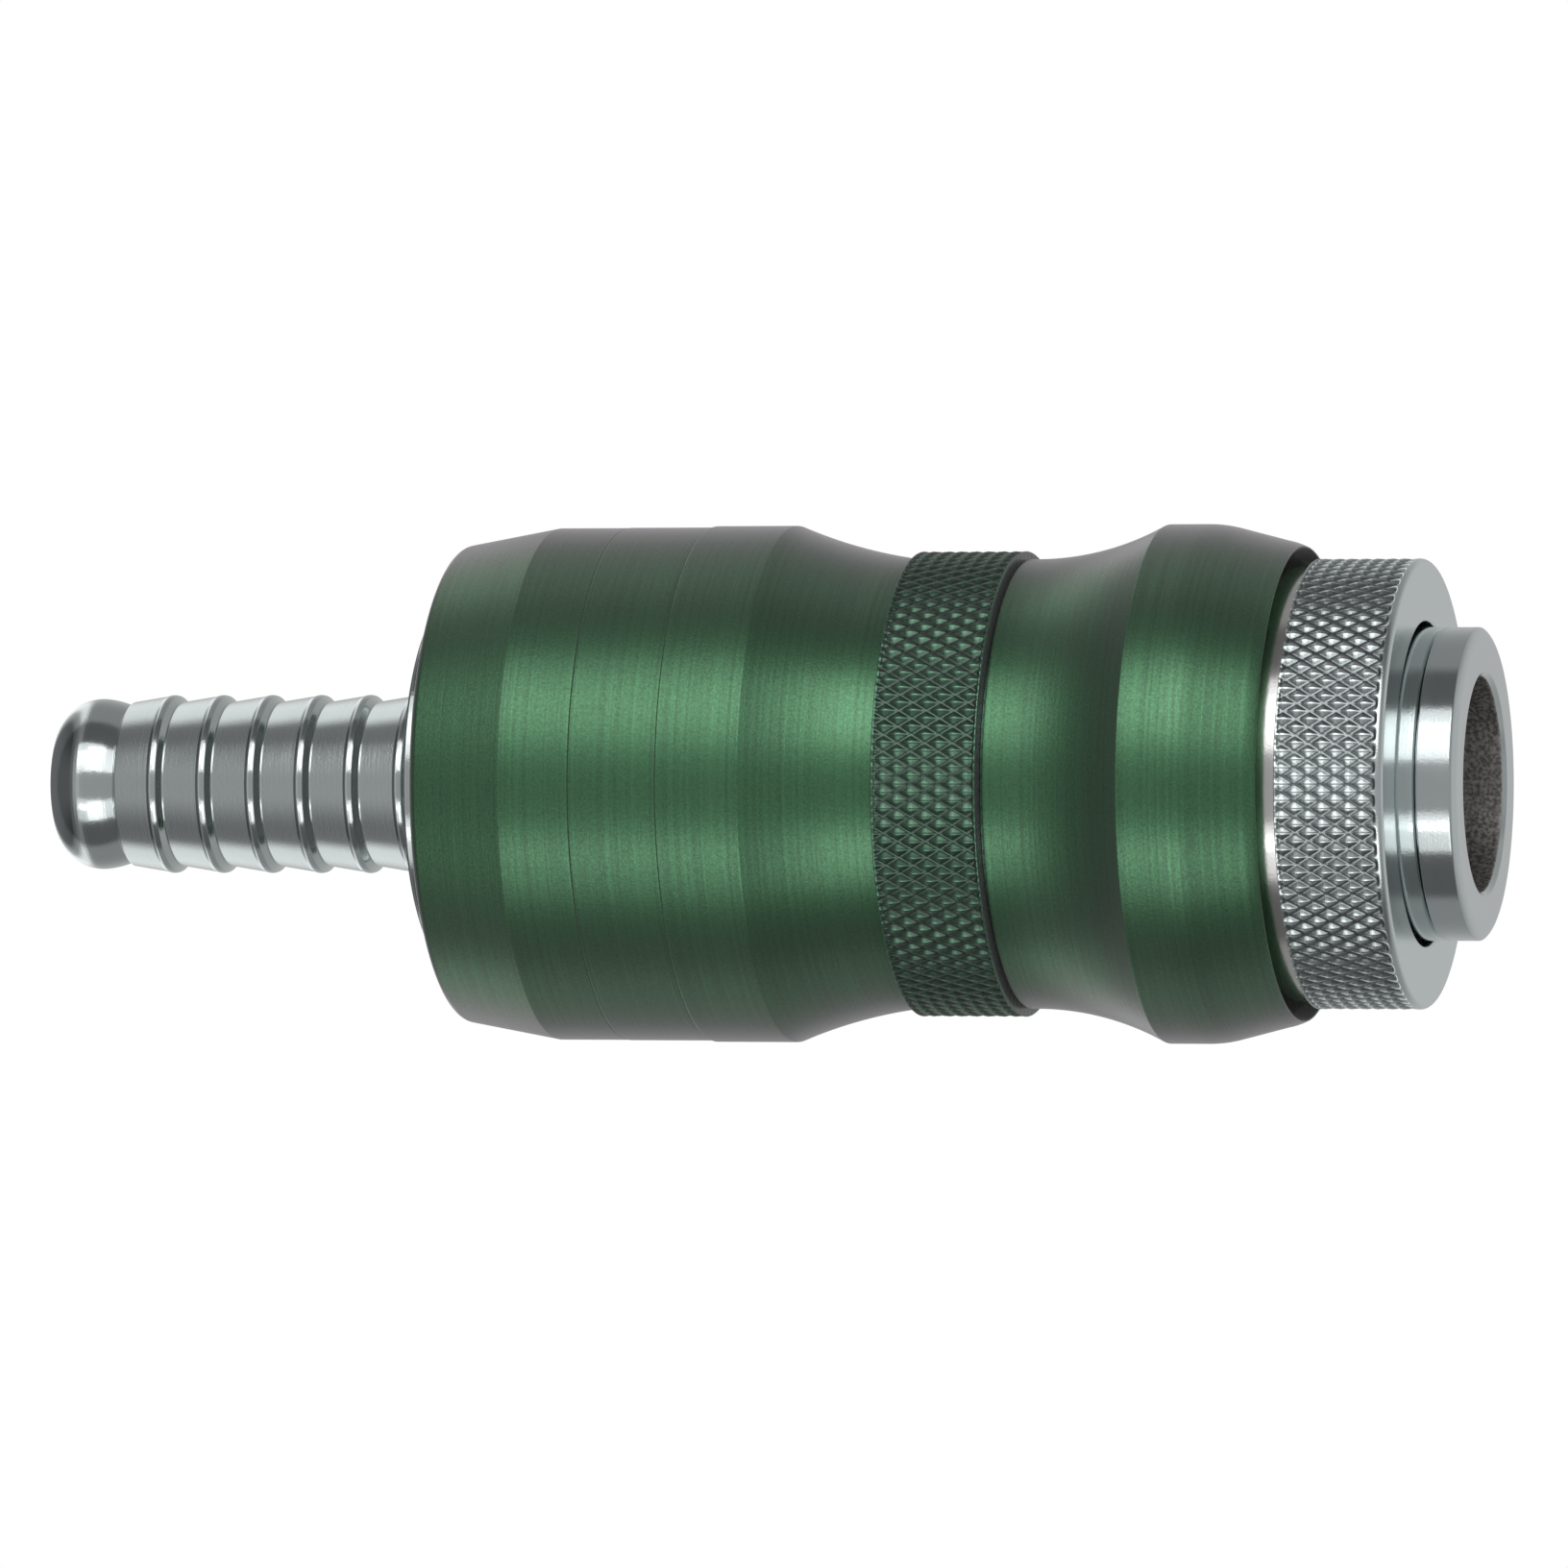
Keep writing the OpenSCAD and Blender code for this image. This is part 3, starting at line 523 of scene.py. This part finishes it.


# The two compression springs are wound from round wire with closed ends. They stand on the face behind them.
def coil(name, r_mid, wire, low, high, turns, per_turn=48, sides=12):
    """Round wire along a helix. The height rises by 1.08 wires over the first and last turn, and evenly
    between them."""
    t = np.linspace(0, turns, int(turns * per_turn) + 1)
    height = high - low - wire
    closed = 1.08 * wire / height
    rise = np.interp(t, [0, 1, turns - 1, turns], [0, closed, 1 - closed, 1])
    a, b = 2 * math.pi * t[:, None], np.linspace(0, 2 * math.pi, sides, endpoint=False)[None, :]
    r = r_mid + wire / 2 * np.cos(b) + 0 * a
    z = low + wire / 2 + height * rise[:, None] + wire / 2 * np.sin(b)
    grid = np.stack([r * np.cos(a), r * np.sin(a), z], axis=-1).reshape(-1, 3) * MM
    i, k = np.meshgrid(np.arange(len(t) - 1), np.arange(sides), indexing="ij")
    k2 = (k + 1) % sides
    quads = np.stack([i * sides + k, i * sides + k2, (i + 1) * sides + k2, (i + 1) * sides + k], axis=-1)
    ends = [list(range(sides - 1, -1, -1)), [(len(t) - 1) * sides + k for k in range(sides)]]
    return mesh_object(name, grid, quads.reshape(-1, 4).tolist() + ends)


WIRE = 1.1
SLEEVE_TRAVEL, POPPET_TRAVEL = 5.0, 4.0
for name, node, turns, joint, travel in (
    ("sleeve_coil", "sleeve_spring", 4, "sleeve_slide", SLEEVE_TRAVEL),
    ("valve_coil", "valve_spring", 6, "poppet_slide", POPPET_TRAVEL),
):
    low, high, outer = span(node)
    spring = dress(coil(name, outer - WIRE / 2, WIRE, low, high, turns), wire_steel)
    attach(spring, "housing")
    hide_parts(node)
    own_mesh(spring)


# The release sleeve is turned from stainless steel. Its knurl is rolled in between two wheels, which leaves
# raised diamonds with a rounded top, 1.3 mm apart round the sleeve and 2.1 mm apart along it.
def knurl_height(across, along):
    """The height of a diamond knurl, from 0 in the grooves to 1 on the tops. Across and along count the
    diamonds. Two sets of grooves cross. How far a place is from a groove is a triangle wave, 0 in the groove
    and 1 half way to the next. The nearer groove sets the height, which a power rounds off."""
    one, other = (1 - np.abs(2 * (u % 1) - 1) for u in (across + along, across - along))
    near = np.clip(np.minimum(one, other) * 1.05, 0, 1)
    return 1 - (1 - near) ** 1.3


def knurled(name, section, crests, count, pitch, depth, per_diamond=10, rows_per_pitch=14):
    """A turned part with one knurled band. Crests is the line that the diamonds' tops lie on, from the front
    of the band to its rear, and section the rest of the part, from there round to the front. The knurl goes
    inward from the crests, and its depth at each place is kept in the groove attribute."""
    line = np.array(crests, float)
    run = np.concatenate([[0], np.cumsum(np.linalg.norm(np.diff(line, axis=0), axis=1))])
    rows = int(run[-1] / pitch * rows_per_pitch)
    place = np.linspace(0, run[-1], rows + 1)[1:-1]
    r, z = (np.interp(place, run, line[:, i])[:, None] for i in (0, 1))
    across = np.arange(count * per_diamond)[None, :] / per_diamond
    groove = 1 - knurl_height(across, z / pitch)
    plain = held(section)
    flat = np.zeros((len(plain), groove.shape[1]))
    piece = carried_round(
        name,
        np.vstack([r - depth * groove, plain[:, :1] + flat]),
        np.vstack([z + 0 * groove, plain[:, 1:] + flat]),
    )
    # The groove depth also sets the painted shade in the grooves of the knurl's material.
    shade = piece.data.attributes.new("groove", "FLOAT", "POINT")
    shade.data.foreach_set("value", np.vstack([groove, flat]).reshape(-1))
    return piece


def knurled_metal(name, crest, painted_groove_shade, low, high, count, pitch, burr_height, burr_rise_and_painted_highlight, film=None):
    """Metal whose grooves are painted darker than its crests by the groove attribute of the mesh, as painted
    shade.
    Where the wheels met, a fine burr stands in the middle of each groove: its place is where the triangle
    wave of either set of grooves is 0, worked out from the angle round Z and the height. A bump raises the
    burr, and its colour is painted back towards the crest's, a painted highlight along the groove. A film is
    more settings of the skin."""
    made = material(name)
    tree = made.node_tree
    rings, normal = turning_marks(tree, 0.3, 0.08)
    place = add(tree, "ShaderNodeTexCoord")
    spot = add(tree, "ShaderNodeSeparateXYZ", {0: place.outputs["Object"]}).outputs
    angle = add(tree, "ShaderNodeMath", {0: spot["Y"], 1: spot["X"]}, operation="ARCTAN2")
    across = add(
        tree, "ShaderNodeMath", {0: angle.outputs[0], 1: count / (2 * math.pi)}, operation="MULTIPLY"
    )
    along = add(tree, "ShaderNodeMath", {0: spot["Z"], 1: 1 / (pitch * MM)}, operation="MULTIPLY")
    waves = []
    for way in ("ADD", "SUBTRACT"):
        turn = add(tree, "ShaderNodeMath", {0: across.outputs[0], 1: along.outputs[0]}, operation=way)
        wave = add(tree, "ShaderNodeMath", {0: turn.outputs[0], 1: 0.5}, operation="PINGPONG")
        waves.append(wave.outputs[0])
    near = add(tree, "ShaderNodeMath", {0: waves[0], 1: waves[1]}, operation="MINIMUM")
    # The burr is raised by the bump below, and lifts the colour back towards the crest's as a painted
    # highlight.
    burr = add(
        tree,
        "ShaderNodeMapRange",
        {"Value": near.outputs[0], "From Min": 0.015, "From Max": 0.06, "To Min": burr_rise_and_painted_highlight, "To Max": 0.0},
        interpolation_type="SMOOTHSTEP",
    )
    relief = add(
        tree,
        "ShaderNodeBump",
        {"Height": burr.outputs[0], "Strength": 1.0, "Distance": burr_height * MM, "Normal": normal},
    )
    rough = add(
        tree,
        "ShaderNodeMapRange",
        {"Value": rings, "From Min": 0.3, "From Max": 0.7, "To Min": low, "To Max": high},
    )
    # Painted shade: the colour goes from the crest's to the dark groove colour with the groove depth, less on
    # the burr.
    groove = add(tree, "ShaderNodeAttribute", attribute_name="groove")
    painted_shade_share = add(tree, "ShaderNodeMath", {0: groove.outputs["Fac"], 1: burr.outputs[0]}, operation="SUBTRACT")
    tint = add(
        tree,
        "ShaderNodeMix",
        {"Factor": painted_shade_share.outputs[0], 6: linear(crest), 7: linear(painted_groove_shade)},
        data_type="RGBA",
    )
    skin = add(
        tree,
        "ShaderNodeBsdfPrincipled",
        {
            "Base Color": tint.outputs[2],
            "Metallic": 1.0,
            "Roughness": rough.outputs[0],
            "Normal": relief.outputs["Normal"],
            **(film or {}),
        },
    )
    finish(tree, skin)
    return made


z_sleeve, z_sleeve_end, sleeve_r = span("release_sleeve")
stop_low, stop_high, stop_r = span("sleeve_stop_ring")
SHOULDER_W, SHOULDER_DEPTH, SHOULDER_SAG = 0.55, 0.45, 0.13
KNURL_W = 7.95
KNURL_EDGE = 0.12
KNURL_DEPTH = 0.26
SLEEVE_STEP = 0.6
STOP_GROOVE, STOP_PLAY = 0.6, 0.02
SKIRT_WALL = 2.06
COLLAR_W = 1.3
HOLE_GAP, HOLE_EDGE = 0.45, 0.2
# A point this far from a corner keeps the flat beside it flat in the shading.
SKIRT_HOLD, FACE_HOLD = 0.08, 0.1
recess_r, land_r = 13.8, 12.5
z_ramp, z_land, z_land_end = 8.7, 13.8, 17.1
z_knurl = z_sleeve + SHOULDER_W
z_knurl_end = z_knurl + KNURL_W
z_collar = z_sleeve + COLLAR_W
skirt_r = sleeve_r - SLEEVE_STEP
groove_r = skirt_r - STOP_GROOVE
pocket_r = skirt_r - SKIRT_WALL
hole_r = nose_r + HOLE_GAP
sleeve_section = [
    [sleeve_r, z_knurl_end],
    [sleeve_r - KNURL_EDGE / 3, z_knurl_end + KNURL_EDGE / 4],
    [skirt_r, z_knurl_end + KNURL_EDGE],
    [skirt_r, z_knurl_end + KNURL_EDGE + SKIRT_HOLD],
    [skirt_r, stop_low - STOP_PLAY - SKIRT_HOLD],
    [skirt_r, stop_low - STOP_PLAY],
    [groove_r, stop_low - STOP_PLAY],
    [groove_r, stop_high + STOP_PLAY],
    [skirt_r, stop_high + STOP_PLAY],
    [skirt_r, z_sleeve_end],
    [pocket_r, z_sleeve_end],
    [pocket_r, z_land_end],
    [land_r, z_land_end],
    [land_r, z_land],
    [recess_r, z_ramp],
    [recess_r, z_collar],
    [hole_r, z_collar],
    [hole_r, z_sleeve + HOLE_EDGE],
    [hole_r + HOLE_EDGE / 4, z_sleeve + HOLE_EDGE * 0.4],
    [hole_r + HOLE_EDGE, z_sleeve],
    [hole_r + HOLE_EDGE + FACE_HOLD, z_sleeve],
    [sleeve_r - SHOULDER_DEPTH - FACE_HOLD, z_sleeve],
] + arc([sleeve_r - SHOULDER_DEPTH, z_sleeve], [sleeve_r, z_knurl], -SHOULDER_SAG)
SLEEVE_DIAMONDS, SLEEVE_PITCH = 86, 2.1
sleeve = knurled(
    "knurled_release_sleeve",
    sleeve_section,
    [[sleeve_r, z_knurl], [sleeve_r, z_knurl_end]],
    SLEEVE_DIAMONDS,
    SLEEVE_PITCH,
    KNURL_DEPTH,
)
# The rolled stainless steel is bright on its crests, and its grooves are painted grey as painted shade. The
# skirt behind the knurl is ground for its fit in the shell, which leaves it smooth and a little softer than
# plate.
stainless = knurled_metal(
    "stainless_steel",
    "#ebf5f4",
    "#6a7072",
    0.16,
    0.30,
    SLEEVE_DIAMONDS,
    SLEEVE_PITCH,
    burr_height=0.01,
    burr_rise_and_painted_highlight=0.15,
)
ground_steel = turned_metal("ground_steel", "#f2f2ef", 0.13, 0.22)
dress(sleeve, stainless)
second_skin(sleeve, ground_steel, lambda r, z: (r > skirt_r - 0.1) & (z > z_knurl_end))
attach(sleeve, "sleeve")
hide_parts("release_sleeve")


# The shells are turned from aluminium and anodised green. The dyed oxide is a thin hard glass over the metal:
# the metal glows green through it, the glass mirrors the room grey, and its fine haze greys the far edges.
OXIDE = {
    "Specular Tint": linear("#101612"),
    "Coat Weight": 1.0,
    "Coat Roughness": 0.3,
    "Coat IOR": 1.6,
    "Sheen Weight": 0.5,
    "Sheen Roughness": 0.5,
    "Sheen Tint": linear("#efe7f0"),
}
GRAINS_PER_MM = 5.5


def anodised(name, tint, dark, low, high):
    """Green anodised aluminium with turning marks and a blasted grain, which is drawn coarser than it is so
    that it shows. Its colour goes unevenly from tint to dark."""
    made = material(name)
    tree = made.node_tree
    rings, normal = turning_marks(tree, 0.3, 0.4)
    place = add(tree, "ShaderNodeTexCoord")
    grain = add(
        tree,
        "ShaderNodeTexNoise",
        {"Vector": place.outputs["Object"], "Scale": GRAINS_PER_MM / MM, "Detail": 2.0},
    ).outputs["Fac"]
    blasted = add(
        tree, "ShaderNodeBump", {"Height": grain, "Strength": 0.5, "Distance": RELIEF, "Normal": normal}
    )
    both = add(tree, "ShaderNodeMath", {0: rings, 1: grain}, operation="ADD")
    depth = add(
        tree,
        "ShaderNodeMapRange",
        {"Value": both.outputs[0], "From Min": 0.7, "From Max": 1.3, "To Min": 0.0, "To Max": 1.0},
    )
    colour = add(
        tree,
        "ShaderNodeMix",
        {"Factor": depth.outputs[0], 6: linear(tint), 7: linear(dark)},
        data_type="RGBA",
    )
    rough = add(
        tree,
        "ShaderNodeMapRange",
        {"Value": both.outputs[0], "From Min": 0.6, "From Max": 1.4, "To Min": low, "To Max": high},
    )
    skin = add(
        tree,
        "ShaderNodeBsdfPrincipled",
        {
            "Base Color": colour.outputs[2],
            "Metallic": 1.0,
            "Roughness": rough.outputs[0],
            "Normal": blasted.outputs["Normal"],
            **OXIDE,
        },
    )
    finish(tree, skin)
    return made


green = anodised("green_anodised_aluminium", "#468a58", "#266038", 0.30, 0.42)
SHELL_EASE = 0.08

# The front shell screws onto the socket body, and its mouth takes the sleeve. A thin lip flares out to the
# full width over a soft corner, and a hollow leads down to the waist. A rib inside stops the sleeve's ring.
z_lip, z_shell_end, shell_r = span("front_shell")
MOUTH_GAP, MOUTH_SLOPE = 0.6, 0.3
LIP_BACK, LIP_OPEN, LIP_EDGE, LIP_SAG = 0.45, 0.3, 0.1, 0.05
LIP_W, LIP_RISE = 1.84, 0.87
FLARE_LEN = 6.78
CORNER_LEN, CORNER_SAG = 1.2, 0.08
WAIST_LEN, WAIST_DEPTH, WAIST_LAND, WAIST_SAG = 11.2, 2.7, 0.5, 0.68
RIB_W, RIB_PLAY, RIB_GAP = 1.2, 0.05, 0.12
CAVITY_GAP = 0.25
z_flange = 28.4
mouth_r = sleeve_r + MOUTH_GAP
lip_r = mouth_r + LIP_OPEN
waist_r = shell_r - WAIST_DEPTH
rib_r, cavity_r = skirt_r + RIB_GAP, stop_r + CAVITY_GAP
z_rib_end = stop_low - RIB_PLAY
z_rib = z_rib_end - RIB_W
z_full = z_lip + FLARE_LEN
flare_start = [mouth_r + LIP_RISE, z_lip + LIP_W]
flare_slope = (shell_r - flare_start[0]) / (FLARE_LEN - LIP_W)
corner_start = [shell_r - CORNER_LEN * flare_slope, z_full - CORNER_LEN]
waist_start = [shell_r, z_shell_end - WAIST_LEN]
front_section = (
    arc([lip_r + LIP_EDGE, z_lip + LIP_BACK], flare_start, -LIP_SAG)
    + arc(corner_start, [shell_r, z_full + CORNER_LEN], -CORNER_SAG)
    + arc(waist_start, [waist_r, z_shell_end - WAIST_LAND], WAIST_SAG, steps=28)
    + [
        [waist_r, z_shell_end],
        [body_r, z_shell_end],
        [body_r, z_flange],
        [cavity_r, z_flange],
        [cavity_r, z_rib_end],
        [rib_r, z_rib_end],
        [rib_r, z_rib],
        [mouth_r, z_rib - MOUTH_SLOPE],
        [mouth_r, z_lip + LIP_W],
        [lip_r, z_lip + LIP_BACK],
    ]
)
front_shell = dress(turned("green_front_shell", eased(front_section, SHELL_EASE)), green)
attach(front_shell, "housing")
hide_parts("front_shell")

# The lock ring turns on the socket body. It is the same aluminium, knurled with 88 diamonds 2.2 mm long
# before it was anodised. Its grooves are painted a near-black green as painted shade, and the burrs in them
# are painted back to the crest green as a painted highlight.
z_lock, z_lock_end, lock_r = span("lock_ring")
RING_GAP = 0.4
RING_CHAMFER = 0.08
RING_DEPTH = 0.28
BEARING_GAP = 0.05
HUB_STEP = 0.3
hub_r = (body_r + waist_r) / 2 + HUB_STEP
z_face = z_shell_end + RING_GAP
crest_front, crest_rear = [lock_r, z_face + RING_CHAMFER], [lock_r, z_lock_end - RING_CHAMFER]
lock_section = [
    crest_rear,
    [lock_r - RING_CHAMFER, z_lock_end],
    [body_r + BEARING_GAP, z_lock_end],
    [body_r + BEARING_GAP, z_lock],
    [hub_r, z_lock],
    [hub_r, z_face],
    [lock_r - RING_CHAMFER, z_face],
    crest_front,
]
LOCK_DIAMONDS, LOCK_PITCH = 88, 2.2
green_knurl = knurled_metal(
    "green_anodised_knurl",
    "#4f8466",
    "#0e1913",
    0.24,
    0.38,
    LOCK_DIAMONDS,
    LOCK_PITCH,
    burr_height=0.07,
    burr_rise_and_painted_highlight=1.0,
    film={**OXIDE, "Sheen Weight": 0.2},
)
lock_ring = knurled(
    "knurled_lock_ring", lock_section, [crest_front, crest_rear], LOCK_DIAMONDS, LOCK_PITCH, RING_DEPTH
)
dress(lock_ring, green_knurl)
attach(lock_ring, "lock_ring_body")
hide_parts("lock_ring")

# The mid shell, the spacer ring and the rear cap follow on the swivel body, of the same green aluminium. The
# cap screws on and clamps the other two. The mid shell rises from the waist in a hollow, and the cap tapers
# to a rounded rear edge, round the hole that the hose tail turns in.
_, z_core_end, core_r = span("swivel_body")
z_mid = span("mid_shell")[0]
z_spacer, _, spacer_r = span("spacer_ring")
z_cap, z_cap_end, cap_r = span("rear_cap")
MID_HOLLOW_LEN, MID_HOLLOW_SAG = 10.1, 0.36
TAPER_LEN, TAPER_DEPTH = 7.6, 1.4
REAR_EDGE, REAR_SAG = 0.5, 0.13
JOURNAL_R, JOURNAL_GAP, JOURNAL_CHAMFER = 9.53, 0.05, 0.3
CORE_GAP = 0.1
journal_hole_r = JOURNAL_R + JOURNAL_GAP
taper_r = cap_r - TAPER_DEPTH
rear_start = [taper_r + REAR_EDGE * TAPER_DEPTH / TAPER_LEN, z_cap_end - REAR_EDGE]
mid_section = (
    [[core_r, z_mid]]
    + arc([waist_r, z_mid], [shell_r, z_mid + MID_HOLLOW_LEN], MID_HOLLOW_SAG, steps=28)
    + [[shell_r, z_spacer], [core_r, z_spacer]]
)
spacer_section = [[core_r, z_spacer], [spacer_r, z_spacer], [spacer_r, z_cap], [core_r, z_cap]]
cap_section = (
    [[core_r, z_cap], [cap_r, z_cap], [cap_r, z_cap_end - TAPER_LEN]]
    + arc(rear_start, [taper_r - REAR_EDGE, z_cap_end], -REAR_SAG, steps=6)
    + [
        [journal_hole_r + JOURNAL_CHAMFER, z_cap_end],
        [journal_hole_r, z_cap_end - JOURNAL_CHAMFER],
        [journal_hole_r, z_core_end + CORE_GAP],
        [core_r, z_core_end + CORE_GAP],
    ]
)
for node, section in (("mid_shell", mid_section), ("spacer_ring", spacer_section), ("rear_cap", cap_section)):
    piece = dress(turned("green_" + node, eased(section, SHELL_EASE)), green)
    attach(piece, "housing")
    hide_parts(node)

# The collar and the hose tail turn together. Both are nickel-plated steel. The barbs rise slowly from the end
# of the tail, and each one drops behind a small round crest, so that the hose goes on easily and stays on.
z_collar_front, z_collar_rear, collar_r = span("tail_collar")
SPIGOT_R = 7.18
COLLAR_EASE = 0.2
collar_section = [
    [SPIGOT_R, z_collar_front],
    [collar_r, z_collar_front],
    [collar_r, z_collar_rear],
    [SPIGOT_R, z_collar_rear],
]
collar = dress(turned("bright_tail_collar", eased(collar_section, COLLAR_EASE)), bright_nickel)
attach(collar, "hose_end")
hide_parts("tail_collar")

z_tail, z_tip, flange_r = span("hose_tail")
BARB_R, ROOT_R, BORE_R = 7.08, 6.54, 4.5
BARBS, BARB_PITCH = 6, 4.04
CREST, CREST_SAG, DROP, FOOT = 0.35, 0.08, 0.4, 0.1
FLANGE_W = 3.8
COUNTERSINK = 3
SPIGOT_OUT, NECK_SLOPE, NECK_STEP = 0.35, 0.3, 0.2
FIRST_BARB = 2.55
BULB_AFTER, BULB_DIP, BULB_STEP, BULB_SHARE = 3.4, 0.36, 0.3, 0.42
BULB_SAG, TIP_SAG, TIP_W, TIP_CHAMFER = 0.1, 0.52, 0.5, 0.35
neck_r = ROOT_R + NECK_STEP
bulb_r = BARB_R - BULB_STEP
z_flange_rear = z_tail + FLANGE_W
z_neck = z_collar_rear + SPIGOT_OUT
z_barb = z_collar_rear + FIRST_BARB
z_bulb = z_barb + (BARBS - 1) * BARB_PITCH + BULB_AFTER
z_bulb_full = z_bulb + (z_tip - z_bulb) * BULB_SHARE
tail_section = [
    [BORE_R + COUNTERSINK, z_tail],
    [flange_r, z_tail],
    [flange_r, z_flange_rear],
    [JOURNAL_R, z_flange_rear],
    [JOURNAL_R, z_collar_front],
    [SPIGOT_R, z_collar_front],
    [SPIGOT_R, z_neck],
    [neck_r, z_neck + NECK_SLOPE],
]
for k in range(BARBS):
    z = z_barb + k * BARB_PITCH
    crest_r = BARB_R - CREST_SAG
    tail_section += [[neck_r if k == 0 else ROOT_R, z - DROP - CREST]]
    tail_section += arc([crest_r, z - CREST], [crest_r, z + CREST], -CREST_SAG)
    tail_section += [[ROOT_R, z + BARB_PITCH - DROP - CREST - FOOT]]
tail_section += arc([ROOT_R - BULB_DIP, z_bulb], [bulb_r, z_bulb_full], -BULB_SAG)
tail_section += arc([bulb_r, z_bulb_full], [BORE_R + TIP_W, z_tip], -TIP_SAG, steps=14)[1:]
tail_section += [[BORE_R, z_tip - TIP_CHAMFER], [BORE_R, z_tail + COUNTERSINK]]
TAIL_EASE = 0.05
hose_tail = dress(turned("barbed_hose_tail", eased(tail_section, TAIL_EASE)), bright_nickel)
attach(hose_tail, "hose_end")
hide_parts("hose_tail")
